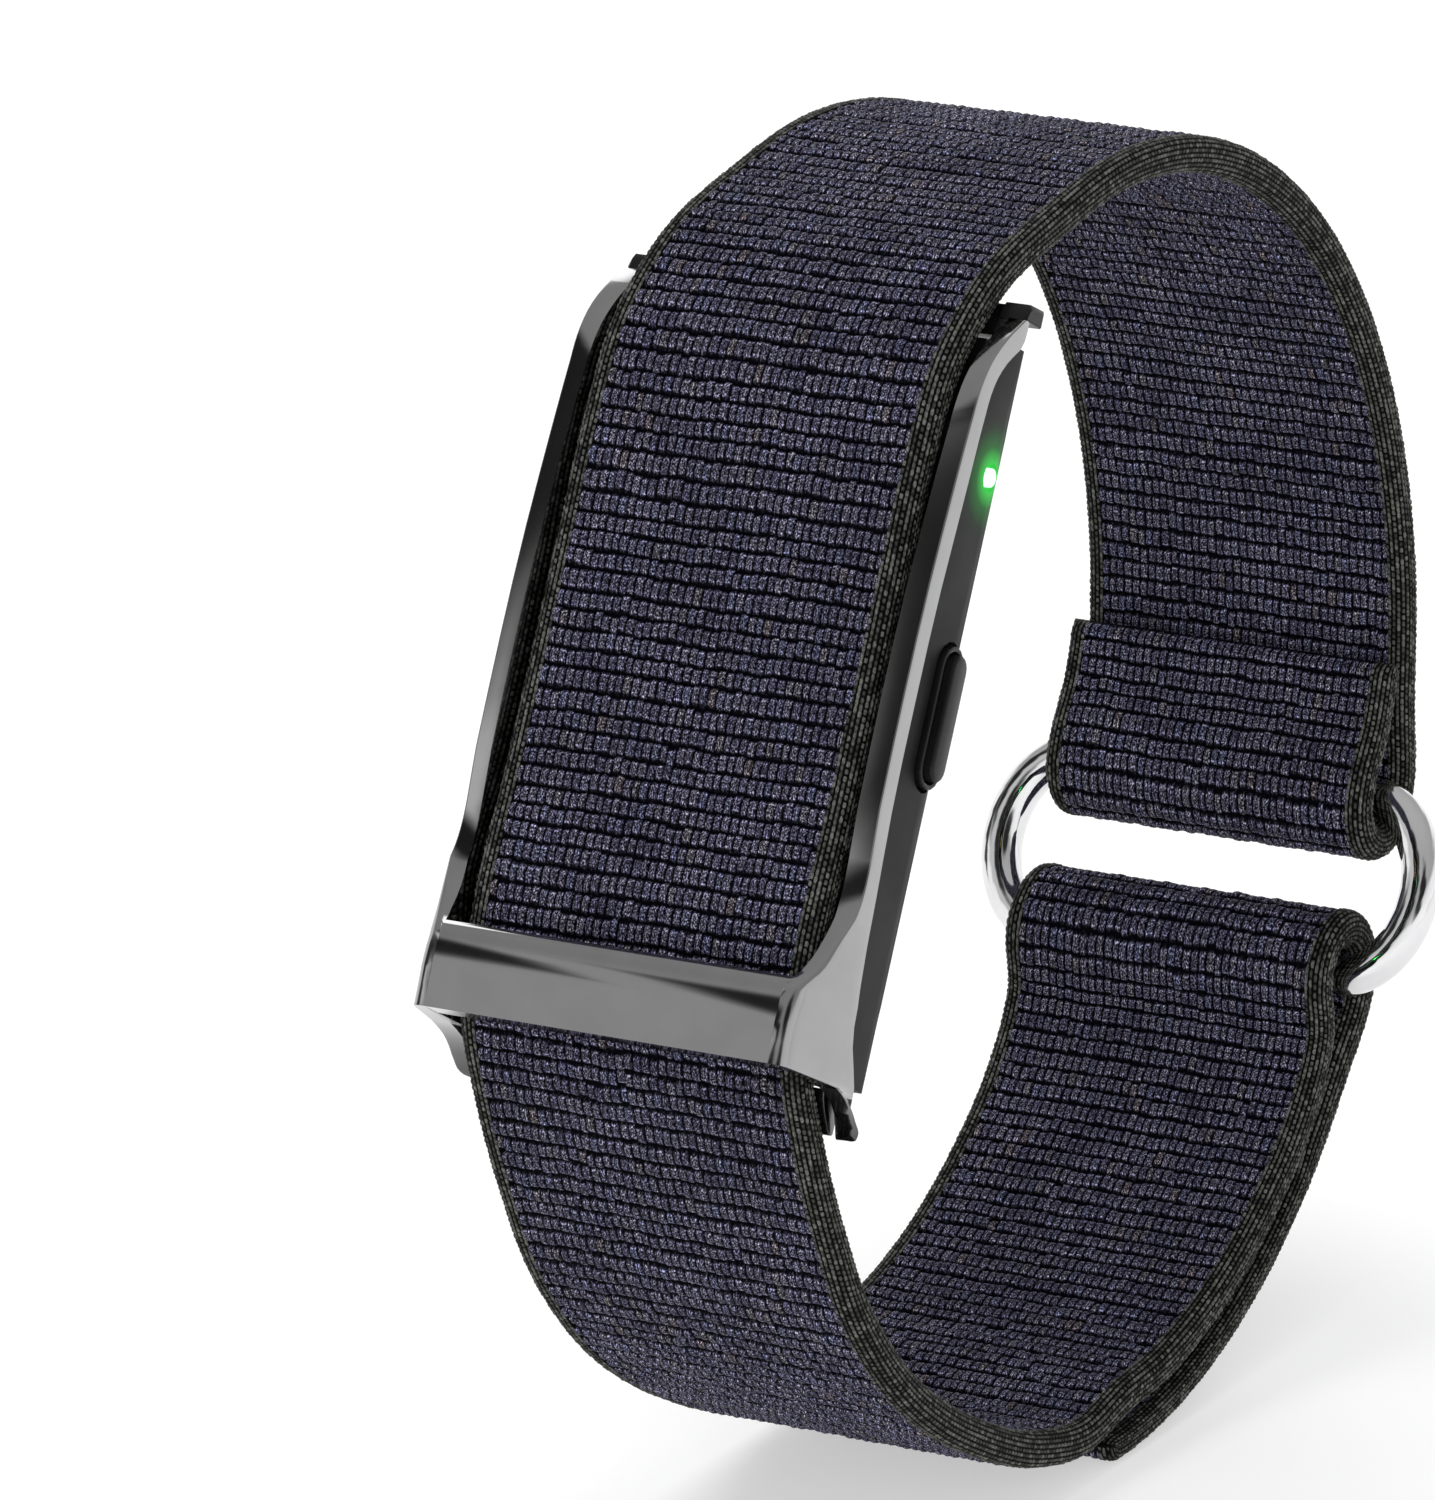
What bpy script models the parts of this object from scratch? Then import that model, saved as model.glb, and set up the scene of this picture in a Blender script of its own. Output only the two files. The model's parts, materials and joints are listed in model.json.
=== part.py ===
"""Fitness tracker band: a slim tracker in a metal frame on a hook-and-loop strap.

Every tracker piece is laid out in the device frame, whose origin is the middle of the plane
through the frame's four lug tips: u points out of the face, v across the band and w along
the tracker.  The `stance` empty leans that frame back to the band's own standing pose, with
the world origin at the centre of the wrist opening and world +Y along the wrist.
"""
import math

import bmesh
import bpy
from mathutils import Matrix, Vector

MM = 0.001

# ---------------------------------------------------------------- driving dimensions (mm)
STANCE_TILT = math.radians(26.7)      # how far the tracker leans back from upright
GAP = 0.3                             # clearance kept between touching pieces

STRAP_WIDTH = 20.0
STRAP_THICK = 2.0
LOOP_U, LOOP_W = -28.5, 1.0           # centre of the wrist opening
LOOP_R = 35.2                         # centreline radius of a single strap layer
CROWN_SHIFT = (0.5, 0.2)              # how far the crown's arc is off the loop's centre
UNDER_R = 32.9                        # centreline radius of the layer under the tail
TAIL_OUTER_R = 36.2                   # outer surface of the tail
TAIL_THICK = 1.5                      # the tail is pressed thinner than the rest
HOOK_THICK = 0.35
TAIL_CENTRE = (-28.0, -0.4)           # centre of both layers' arcs where they lie together
FACE_U = 4.6                          # strap centreline height over the tracker

FRAME_HALF = 12.0                     # half width over the frame's side faces
FRAME_INNER = 10.35                   # half width between the frame's rails
CROSSBAR_HALF = 11.1                  # half width over the crossbar's rounded ends
CROSSBAR_TOP_U = 8.1
CROSSBAR_UNDER_U = 6.0
CROSSBAR_W = (-20.2, -15.5)
LUG_BACK_U = -1.2                     # wrist side of the lugs, at their inner walls
LUG_EDGE_U = 0.4                      # wrist side of the lugs, at the side faces
LUG_TAPER = 0.4                       # how much each side narrows towards the crossbar's lugs
LUG_TIP_W = -22.5
LUG_TIP_R = 0.6                       # rounding of each lower lug's outer corner
RAIL_END_W = 21.15                    # where the rails meet the top end bar

CASE_HALF = 11.2
CASE_BACK_U = -2.8
CASE_WALL = 0.8
CASE_END_W = 19.9
CASE_CORNER_R = 2.2
LEDGE_U = 1.9                         # ledge that carries the gasket
CAVITY_HALF_V, CAVITY_HALF_W = 9.2, 15.2
LEDGE_HALF_V, LEDGE_HALF_W = 10.4, 16.1
COVER_TOP_U = 3.3
COVER_THICK = 0.5

WINDOW_V, WINDOW_W, WINDOW_R = 11.7, 16.0, 2.3
BEZEL_RIM = 1.1
CONTACT_W, CONTACT_SPACING, CONTACT_D = 14.0, 2.9, 2.1
LIGHT_U, LIGHT_W, LIGHT_D = -0.4, 12.9, 1.0
BUTTON_LENGTH, BUTTON_HEIGHT, BUTTON_PROUD = 6.8, 1.6, 0.75
BUTTON_U = -0.35

RING_U, RING_W = -60.6, 3.1           # centre of the adjusting ring
RING_WIRE_R = 1.2
RING_BAR_OFFSET = 5.3                 # centreline of each bar from the ring's centre
RING_HALF_LENGTH = 13.2               # centreline, across the band
RING_STRAIGHT_HALF = 9.0
UPPER_POCKET_R = 1.65                 # inside of the fold round each bar
LOWER_POCKET_R = 1.95
TAIL_HINGE_ANGLE = -18.0              # degrees round the loop centre from the clasp side
TAIL_TIP_ANGLE = -64.8
HOOK_TAB_ANGLES = (-42.0, -63.0)      # the hook patch under the tail's end


# ---------------------------------------------------------------- materials and placing
def finish(name, colour, roughness, metallic=0.0, alpha=1.0, glow=0.0):
    """A Principled material; each sub-part has one of its own."""
    material = bpy.data.materials.new(name)
    material.use_nodes = True
    shader = material.node_tree.nodes["Principled BSDF"]
    shader.inputs["Base Color"].default_value = (*colour, 1.0)
    shader.inputs["Roughness"].default_value = roughness
    shader.inputs["Metallic"].default_value = metallic
    shader.inputs["Alpha"].default_value = alpha
    if glow:
        shader.inputs["Emission Color"].default_value = (*colour, 1.0)
        shader.inputs["Emission Strength"].default_value = glow
    return material


FINISHES = {
    "gunmetal": ((0.16, 0.16, 0.165), 0.22, 1.0),
    "chrome": ((0.75, 0.75, 0.76), 0.08, 1.0),
    "black": ((0.012, 0.012, 0.013), 0.35, 0.0),
    "rubber": ((0.02, 0.02, 0.02), 0.8, 0.0),
    "strap": ((0.045, 0.045, 0.075), 0.85, 0.0),
    "hook": ((0.03, 0.03, 0.033), 0.7, 0.0),
    "glass": ((0.01, 0.012, 0.01), 0.05, 0.0, 0.5),
    "board": ((0.01, 0.09, 0.04), 0.5, 0.0),
    "chip": ((0.015, 0.015, 0.017), 0.4, 0.0),
    "ceramic": ((0.75, 0.68, 0.35), 0.4, 0.0),
    "gold": ((0.83, 0.62, 0.18), 0.2, 1.0),
    "steel": ((0.55, 0.55, 0.56), 0.25, 1.0),
    "foil": ((0.5, 0.5, 0.52), 0.35, 0.8),
    "flex": ((0.35, 0.16, 0.03), 0.45, 0.0),
    "green_light": ((0.05, 0.9, 0.15), 0.3, 0.0, 1.0, 3.0),
}


def local(u, v, w):
    """Device coordinates in millimetres to a vector in metres: x is -u, y is v, z is w."""
    return Vector((-u, v, w)) * MM


def add_object(name, mesh, finish_name, parent, location=(0.0, 0.0, 0.0), smooth_angle=35.0):
    """Link a mesh as the node `name`, placed at device coordinates `location`."""
    obj = bpy.data.objects.new(name, mesh)
    bpy.context.collection.objects.link(obj)
    obj.parent = parent
    obj.location = local(*location)
    mesh.materials.append(finish(name, *FINISHES[finish_name]))
    mesh.shade_smooth()
    mesh.set_sharp_from_angle(angle=math.radians(smooth_angle))
    return obj


def add_empty(name, parent, location):
    empty = bpy.data.objects.new(name, None)
    bpy.context.collection.objects.link(empty)
    empty.empty_display_size = 0.01
    empty.parent = parent
    empty.location = location
    return empty


def mesh_from(bm, name):
    bmesh.ops.recalc_face_normals(bm, faces=bm.faces)
    mesh = bpy.data.meshes.new(name)
    bm.to_mesh(mesh)
    bm.free()
    return mesh


# ---------------------------------------------------------------- curves and outlines
def arc(centre, radius, start_deg, end_deg, steps):
    """Points on an arc in the (u, w) plane; 0 degrees points to the clasp, 90 degrees to +w."""
    points = []
    for index in range(steps + 1):
        angle = math.radians(start_deg + (end_deg - start_deg) * index / steps)
        points.append((centre[0] - radius * math.cos(angle), centre[1] + radius * math.sin(angle)))
    return points


def slopes(knots):
    """Slope of each coordinate of a smooth curve at its knots, per unit of its parameter.

    A knot is a tuple whose first value is the curve's parameter.
    """
    result = []
    for index, knot in enumerate(knots):
        before = knots[max(index - 1, 0)]
        after = knots[min(index + 1, len(knots) - 1)]
        ahead, behind = after[0] - knot[0], knot[0] - before[0]
        result.append([
            (((a - k) / ahead * behind if ahead else 0.0) + ((k - b) / behind * ahead if behind else 0.0))
            / (ahead + behind) if ahead and behind else (a - b) / (ahead + behind)
            for b, k, a in zip(before[1:], knot[1:], after[1:])])
    return result


def hermite(start, end, slope_start, slope_end, value):
    """Point at the parameter `value` between two knots of a smooth curve."""
    span = end[0] - start[0]
    t = (value - start[0]) / span
    return [a * (1 + 2 * t) * (1 - t) ** 2 + b * t * t * (3 - 2 * t)
            + span * t * (1 - t) * (p * (1 - t) - q * t)
            for a, b, p, q in zip(start[1:], end[1:], slope_start, slope_end)]


def smooth_curve(points, spacing):
    """Smooth open curve through 2D points, sampled about every `spacing`."""
    knots = [(0.0, *points[0])]
    for before, after in zip(points, points[1:]):
        knots.append((knots[-1][0] + math.dist(before, after), *after))
    tangents = slopes(knots)
    curve = []
    for index in range(len(knots) - 1):
        start, end = knots[index], knots[index + 1]
        count = max(1, math.ceil((end[0] - start[0]) / spacing))
        for step in range(count):
            value = start[0] + (end[0] - start[0]) * step / count
            curve.append(tuple(hermite(start, end, tangents[index], tangents[index + 1], value)))
    return curve + [points[-1]]


def level(table, w):
    """Height at w on the smooth line through a table of (w, u) pairs that rise in w."""
    if w <= table[0][0]:
        return table[0][1]
    tangents = slopes(table)
    for index in range(len(table) - 1):
        if w <= table[index + 1][0]:
            return hermite(table[index], table[index + 1], tangents[index], tangents[index + 1], w)[0]
    return table[-1][1]


def rounded_rectangle(width, height, radius, steps=5):
    """Outline of a rounded rectangle, counter-clockwise, centred on the origin."""
    outline = []
    corners = ((1, 1, 0), (-1, 1, 90), (-1, -1, 180), (1, -1, 270))
    for sign_x, sign_y, start in corners:
        for index in range(steps + 1):
            angle = math.radians(start + 90 * index / steps)
            outline.append((sign_x * (width / 2 - radius) + radius * math.cos(angle),
                            sign_y * (height / 2 - radius) + radius * math.sin(angle)))
    return outline


def loft(rings, name):
    """Closed mesh through equal-length rings of (u, v, w) points, with both ends capped."""
    bm = bmesh.new()
    layers = [[bm.verts.new(local(*point)) for point in ring] for ring in rings]
    count = len(layers[0])
    for lower, upper in zip(layers, layers[1:]):
        for index in range(count):
            after = (index + 1) % count
            bm.faces.new((lower[index], lower[after], upper[after], upper[index]))
    bm.faces.new(layers[0])
    bm.faces.new(layers[-1])
    return mesh_from(bm, name)


def plate(outline_vw, u_low, u_high, name):
    """Plate with an outline in (v, w), between two heights u."""
    return loft([[(u, v, w) for v, w in outline_vw] for u in (u_low, u_high)], name)


def side_prism(outline_uw, v_low, v_high, name):
    """Prism with an outline in (u, w), between two places v across the band."""
    return loft([[(u, v, w) for u, w in outline_uw] for v in (v_low, v_high)], name)


def ribbon(path, thickness):
    """Outline of a ribbon of the given thickness that follows an open (u, w) path."""
    left, right = [], []
    for index, point in enumerate(path):
        before = Vector(path[max(index - 1, 0)])
        after = Vector(path[min(index + 1, len(path) - 1)])
        along = (after - before).normalized()
        normal = Vector((-along.y, along.x)) * thickness / 2
        left.append(tuple(Vector(point) + normal))
        right.append(tuple(Vector(point) - normal))
    return left + right[::-1]


def frame_tube(outer, inner, u_low, u_high, name):
    """Flat ring between two matching outlines in (v, w)."""
    bm = bmesh.new()
    loops = []
    for outline, u in ((outer, u_low), (outer, u_high), (inner, u_high), (inner, u_low)):
        loops.append([bm.verts.new(local(u, v, w)) for v, w in outline])
    count = len(outer)
    for first, second in zip(loops, loops[1:] + loops[:1]):
        for index in range(count):
            after = (index + 1) % count
            bm.faces.new((first[index], first[after], second[after], second[index]))
    return mesh_from(bm, name)


def box(name, finish_name, parent, centre, size, bevel=0.1):
    """Box of size (u, v, w) with small bevelled edges."""
    bm = bmesh.new()
    bmesh.ops.create_cube(bm, size=1.0, matrix=Matrix.Diagonal((*(Vector(size) * MM), 1.0)))
    obj = add_object(name, mesh_from(bm, name), finish_name, parent, centre)
    if bevel:
        add_bevel(obj, bevel, 2)
    return obj


def disc(name, finish_name, parent, centre, diameter, thick, axis="u", bevel=0.1):
    """Round piece standing along u or v."""
    bm = bmesh.new()
    turn = Matrix.Rotation(math.pi / 2, 4, "Y" if axis == "u" else "X")
    bmesh.ops.create_cone(bm, cap_ends=True, segments=32, radius1=diameter / 2 * MM,
                          radius2=diameter / 2 * MM, depth=thick * MM, matrix=turn)
    obj = add_object(name, mesh_from(bm, name), finish_name, parent, centre)
    if bevel:
        add_bevel(obj, bevel, 2)
    return obj


def add_bevel(obj, width, segments):
    modifier = obj.modifiers.new("edge_round", "BEVEL")
    modifier.width = width * MM
    modifier.segments = segments
    modifier.limit_method = "ANGLE"
    modifier.angle_limit = math.radians(40)


def cut(target, name, mesh, location=(0.0, 0.0, 0.0)):
    """Cut `mesh`, placed like a piece of the tracker, out of the target."""
    cutter = bpy.data.objects.new(name, mesh)
    bpy.context.collection.objects.link(cutter)
    cutter.parent = target.parent
    cutter.location = local(*location)
    cutter.hide_render = True
    cutter.display_type = "WIRE"
    modifier = target.modifiers.new(name, "BOOLEAN")
    modifier.operation = "DIFFERENCE"
    modifier.object = cutter
    return cutter


# ---------------------------------------------------------------- metal frame
# Heights u of the rails' edges along the tracker, as (w, u).
RIM_INNER = ((-20.3, 8.06), (-16.2, 8.06), (-15.9, 7.97), (-15.68, 7.77), (-15.5, 7.5),
             (-14.6, 6.7), (-13.0, 5.85), (-11.6, 5.5),
             (-5.7, 5.7), (0.0, 5.8), (5.0, 5.7), (10.3, 5.3), (14.0, 4.9), (15.7, 4.7),
             (17.3, 4.2), (18.6, 3.4), (20.0, 2.15), (21.2, 0.7))
RIM_OUTER = ((-20.3, 8.06), (-16.4, 8.06), (-16.05, 7.94), (-15.75, 7.72), (-15.0, 7.0),
             (-13.2, 6.1), (-11.5, 5.35),
             (-5.5, 5.4), (0.0, 5.47), (5.0, 5.4), (10.5, 5.05), (14.9, 4.65), (16.9, 4.4),
             (18.4, 3.75), (20.0, 2.4), (21.4, 0.75))
SIDE_LOW = ((-22.5, 0.5), (-21.5, 0.8), (-20.5, 1.9), (-19.3, 3.05), (-18.1, 3.75), (-16.9, 4.2),
            (-15.4, 4.6), (-13.5, 4.85), (-11.0, 5.2), (-5.5, 5.3), (0.0, 5.35), (22.0, 5.35))
RAIL_LOW = ((-20.4, LUG_EDGE_U), (-19.5, 0.6), (-18.9, 1.2), (-17.4, 2.35), (-16.3, 2.75),
            (-13.6, 3.2), (-10.4, 3.45), (-5.2, 3.85), (0.0, 3.9), (5.5, 3.8), (10.9, 3.4),
            (15.3, 3.1), (16.6, 2.95), (17.6, 2.6), (18.7, 1.8), (19.8, 0.6), (20.4, LUG_EDGE_U))
LUG_FRONT = ((LUG_TIP_W, -0.75), (-22.3, -0.4), (-22.0, -0.1), (-21.6, 0.5), (-21.2, 1.05),
             (-20.7, 2.1), (-20.3, 3.6))
# Sections (u, w) of the end bars: between the lugs, and where the top one caps the rails.
LOWER_BAR = ((LUG_BACK_U, -20.2), (0.9, -20.2), (0.75, -20.7), (0.45, -21.15), (0.15, -21.5),
             (-0.15, -21.8), (-0.45, -22.1), (-0.75, -22.35), (LUG_BACK_U, -22.35))
TOP_BAR = ((LUG_BACK_U, 20.2), (0.8, 20.2), (0.3, 21.15), (0.05, 21.6), (-0.2, 22.1),
           (LUG_BACK_U, 22.15))
TOP_BAR_NECK = ((LUG_BACK_U, 21.2), (0.27, 21.2), (0.2, 21.35), (0.05, 21.6), (-0.2, 22.1),
                (LUG_BACK_U, 22.15))
TOP_BAR_CAP = ((LUG_BACK_U, 21.2), (0.9, 21.2), (0.8, 21.5), (0.72, 21.8), (0.45, 22.1),
               (LUG_BACK_U, 22.15))
TOP_BAR_END = ((-1.0, 21.25), (0.75, 21.25), (0.65, 21.5), (0.55, 21.7), (0.3, 21.9), (-1.0, 21.95))


def rail_section(side, w, inner, outer):
    """Section of a rail: inner wall, rim bevel, rounded corner, side face and lower facet."""
    rise = max(0.0, min(1.0, (outer - 5.5) / (CROSSBAR_TOP_U - 5.5)))
    past = max(0.0, min(LUG_TIP_R, LUG_TIP_W + LUG_TIP_R - w))
    rounding = LUG_TIP_R - math.sqrt(LUG_TIP_R ** 2 - past ** 2)
    side_v = FRAME_HALF - (FRAME_HALF - CROSSBAR_HALF) * rise - rounding
    corner = 0.12 + 0.86 * rise
    turns = [math.radians(22.5 * index) for index in range(5)]
    rounded = [(side_v - corner + corner * math.sin(turn), outer - corner + corner * math.cos(turn))
               for turn in turns]
    face_v = FRAME_HALF - LUG_TAPER * max(0.0, min(1.0, (-w - 16.0) / 3.5)) - rounding
    side_low = min(level(SIDE_LOW, w), outer - corner - 0.05)
    low = min(level(RAIL_LOW, w), side_low - 0.05)
    inner_low = LUG_BACK_U if abs(w) > CASE_END_W + GAP else low
    under = CROSSBAR_UNDER_U if in_crossbar(w) else (inner_low + inner) / 2
    points = [(FRAME_INNER, inner_low), (FRAME_INNER, under),
              (FRAME_INNER + 0.5 - 0.75 * rise, inner)]
    points += rounded + [(face_v, side_low), (face_v - 0.12, low)]
    return [(u, side * v, w) for v, u in points]


def in_crossbar(w):
    return CROSSBAR_W[0] - 0.01 <= w <= CROSSBAR_W[1] + 0.01


def frame_sections(side):
    """Sections of one rail from its lower lug tip, past the crossbar, to its upper end."""
    low_w, high_w = CROSSBAR_W
    end_w = CASE_END_W + GAP
    sections = [rail_section(side, w, level(LUG_FRONT, w), level(LUG_FRONT, w) + 0.15)
                for w in (LUG_TIP_W, -22.45, -22.35, -22.2, -22.05, -21.9, -21.6, -21.3, -21.0, -20.75,
                          -20.55, -20.35)]
    stations = [low_w, -19.9, -19.0, -18.0, -17.0, -16.4, -16.2, -16.05, -15.9, -15.78, -15.68,
                -15.58, high_w]
    stations += [high_w + 0.4 * step for step in range(1, 18)]
    stations += [-6.0, -3.0, 0.0, 3.0, 6.0, 9.0, 12.0, 14.0]
    stations += [14.6 + 0.5 * step for step in range(12)] + [end_w, end_w + 0.02, 20.7, RAIL_END_W]
    for w in sorted(stations):
        sections.append(rail_section(side, w, level(RIM_INNER, w), level(RIM_OUTER, w)))
    return sections


def frame_mesh():
    """Both rails in one mesh, with the crossbar bridged between their inner walls."""
    bm = bmesh.new()
    rails = []
    for side in (-1, 1):
        rail = [[bm.verts.new(local(*point)) for point in section]
                for section in frame_sections(side)]
        for lower, upper in zip(rail, rail[1:]):
            bridged = in_crossbar(lower[0].co.z / MM) and in_crossbar(upper[0].co.z / MM)
            for index in range(len(lower)):
                after = (index + 1) % len(lower)
                if not (bridged and index == 1):
                    bm.faces.new((lower[index], lower[after], upper[after], upper[index]))
        bm.faces.new(rail[0])
        bm.faces.new(rail[-1])
        rails.append([section for section in rail if in_crossbar(section[0].co.z / MM)])
    near, far = rails
    for index in (1, 2):
        for (a, b), (c, d) in zip(zip(near, near[1:]), zip(far, far[1:])):
            bm.faces.new((a[index], b[index], d[index], c[index]))
    for end in (0, -1):
        bm.faces.new((near[end][1], near[end][2], far[end][2], far[end][1]))
    return mesh_from(bm, "metal_frame")


def build_metal_frame(parent):
    """The frame, a bar between its lower lugs and a black one that caps the upper rail ends."""
    add_object("metal_frame", frame_mesh(), "gunmetal", parent, smooth_angle=28)
    reach = FRAME_INNER - GAP
    lower = add_object("bottom_end_bar", side_prism(LOWER_BAR, -reach, reach, "lower_bar"),
                       "gunmetal", parent)
    add_bevel(lower, 0.12, 2)
    half = ((FRAME_HALF - 0.1, TOP_BAR_END), (FRAME_HALF - 0.25, TOP_BAR_CAP),
            (FRAME_INNER, TOP_BAR_CAP), (FRAME_INNER - 0.05, TOP_BAR_NECK),
            (reach + 0.01, TOP_BAR_NECK), (reach, TOP_BAR))
    stations = [(-v, section) for v, section in half] + list(half[::-1])
    rings = [[(u, v, w) for u, w in section] for v, section in stations]
    add_object("top_end_bar", loft(rings, "top_end_bar"), "black", parent)


# ---------------------------------------------------------------- case and cover
SHOULDER = ((0.0, 4.0), (14.0, 3.9), (16.0, 2.95), (17.2, 2.62), (18.0, 2.25), (19.0, 1.75),
            (CASE_END_W, 1.2))
CASE_BACK = ((-CASE_END_W, -1.3), (-18.6, -1.85), (-17.0, -2.5), (-15.2, CASE_BACK_U),
             (-12.0, CASE_BACK_U), (12.0, CASE_BACK_U), (15.2, CASE_BACK_U), (17.0, -2.5),
             (18.6, -1.85), (CASE_END_W, -1.3))


def case_section(w):
    """Case section: straight sides, back corners rounded off, less so towards the ends, and a
    shoulder between the rails that carries on under the strap."""
    back = level(CASE_BACK, w)
    top = level(RAIL_LOW, w) - GAP
    radius = min(CASE_CORNER_R, 0.3 + 1.3 * (-1.3 - back))
    inside = FRAME_INNER - GAP
    half = [(inside, level(SHOULDER, abs(w))), (inside, top), (CASE_HALF, top)]
    for index in range(7):
        angle = math.radians(90 * index / 6)
        half.append((CASE_HALF - radius + radius * math.cos(angle),
                     back + radius - radius * math.sin(angle)))
    mirrored = [(-v, u) for v, u in half[::-1]]
    return [(u, v, w) for v, u in half + mirrored]


def build_case(parent):
    ends = (15.2, 15.9, 16.5, 17.1, 17.6, 18.1, 18.7, 19.3, CASE_END_W)
    stations = [-w for w in ends[::-1]] + [-12, -8, -4, 0, 4, 8, 12] + list(ends)
    case = add_object("rear_case", loft([case_section(w) for w in stations], "rear_case"),
                      "black", parent)
    cavity = rounded_rectangle(2 * CAVITY_HALF_V, 2 * CAVITY_HALF_W, 1.0)
    cut(case, "case_cavity", plate(cavity, CASE_BACK_U + CASE_WALL, 5.0, "cavity"))
    recess = rounded_rectangle(2 * LEDGE_HALF_V, 2 * LEDGE_HALF_W, 1.6)
    cut(case, "cover_recess", plate(recess, LEDGE_U, 5.0, "recess"))
    seat = rounded_rectangle(WINDOW_V + 2 * (BEZEL_RIM + GAP), WINDOW_W + 2 * (BEZEL_RIM + GAP),
                             WINDOW_R + BEZEL_RIM)
    cut(case, "window_seat", plate(seat, -5.0, CASE_BACK_U + 0.45, "seat"))
    opening = rounded_rectangle(WINDOW_V - 1.0, WINDOW_W - 1.0, WINDOW_R)
    cut(case, "window_opening", plate(opening, -5.0, 0.0, "opening"))
    for sign in (-1, 1):
        hole = rounded_rectangle(CONTACT_D + 2 * GAP, CONTACT_D + 2 * GAP, CONTACT_D / 2 + GAP, 6)
        cut(case, f"contact_hole_{(sign + 3) // 2}", plate(hole, -5.0, 0.0, "hole"),
            (0, sign * CONTACT_SPACING / 2, CONTACT_W))
    slot = stadium(BUTTON_HEIGHT + 2 * GAP, BUTTON_LENGTH + 2 * GAP)
    cut(case, "button_slot", side_prism(slot, -13.0, -8.0, "slot"), (BUTTON_U, 0, 0))
    collar = stadium(BUTTON_HEIGHT + 1.3, BUTTON_LENGTH + 1.3)
    cut(case, "button_recess", side_prism(collar, -13.0, -CASE_HALF + 0.45, "recess"),
        (BUTTON_U, 0, 0))
    pipe = stadium(LIGHT_D + 2 * GAP, LIGHT_D + 2 * GAP + 0.01)
    cut(case, "light_hole", side_prism(pipe, -13.0, -8.0, "pipe"), (LIGHT_U, 0, LIGHT_W))
    return case


def stadium(height, length, steps=8):
    """Stadium outline in (u, w), long along w."""
    radius = height / 2
    reach = length / 2 - radius
    outline = []
    for sign, start in ((1, 0), (-1, 180)):
        for index in range(steps + 1):
            angle = math.radians(start + 180 * index / steps)
            outline.append((radius * math.cos(angle), sign * reach + radius * math.sin(angle)))
    return outline


def build_cover(parent):
    outline = rounded_rectangle(2 * (LEDGE_HALF_V - GAP), 2 * (LEDGE_HALF_W - GAP), 1.3)
    cover = add_object("top_cover", plate(outline, COVER_TOP_U - COVER_THICK, COVER_TOP_U, "cover"),
                       "black", parent)
    add_bevel(cover, 0.15, 2)
    outer = rounded_rectangle(2 * LEDGE_HALF_V - 0.8, 2 * LEDGE_HALF_W - 0.8, 1.3)
    inner = rounded_rectangle(2 * CAVITY_HALF_V + 0.5, 2 * CAVITY_HALF_W + 0.5, 1.0)
    add_object("case_gasket", frame_tube(outer, inner, LEDGE_U + 0.1, LEDGE_U + 0.75, "gasket"),
               "rubber", parent)


# ---------------------------------------------------------------- back window and sensors
def build_sensor_stack(parent):
    window = rounded_rectangle(WINDOW_V, WINDOW_W, WINDOW_R)
    glass_low = CASE_BACK_U - 0.1
    glass = add_object("sensor_window", plate(window, glass_low, glass_low + 0.5, "window"),
                       "glass", parent)
    add_bevel(glass, 0.12, 2)
    outer = rounded_rectangle(WINDOW_V + 2 * BEZEL_RIM, WINDOW_W + 2 * BEZEL_RIM,
                              WINDOW_R + BEZEL_RIM - 0.1)
    inner = rounded_rectangle(WINDOW_V + 0.3, WINDOW_W + 0.3, WINDOW_R + 0.15)
    bezel = add_object("window_bezel",
                       frame_tube(outer, inner, CASE_BACK_U - 0.25, CASE_BACK_U + 0.35, "bezel"),
                       "black", parent)
    add_bevel(bezel, 0.18, 2)
    board_u = -1.25
    box("sensor_board", "board", parent, (board_u, 0, 0), (0.4, 10.0, 14.4), 0)
    chip_u = board_u - 0.2 - 0.05 - 0.2
    box("led_package", "ceramic", parent, (chip_u, 0, 4.0), (0.4, 2.8, 1.8), 0.06)
    box("photodiode", "chip", parent, (chip_u, 0, -0.2), (0.4, 3.0, 3.0), 0.06)
    box("green_led", "green_light", parent, (chip_u, 0, -4.2), (0.4, 1.6, 1.6), 0.06)
    box("light_barrier", "rubber", parent, (chip_u, 0, -2.5), (0.5, 9.0, 0.5), 0.06)


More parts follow.
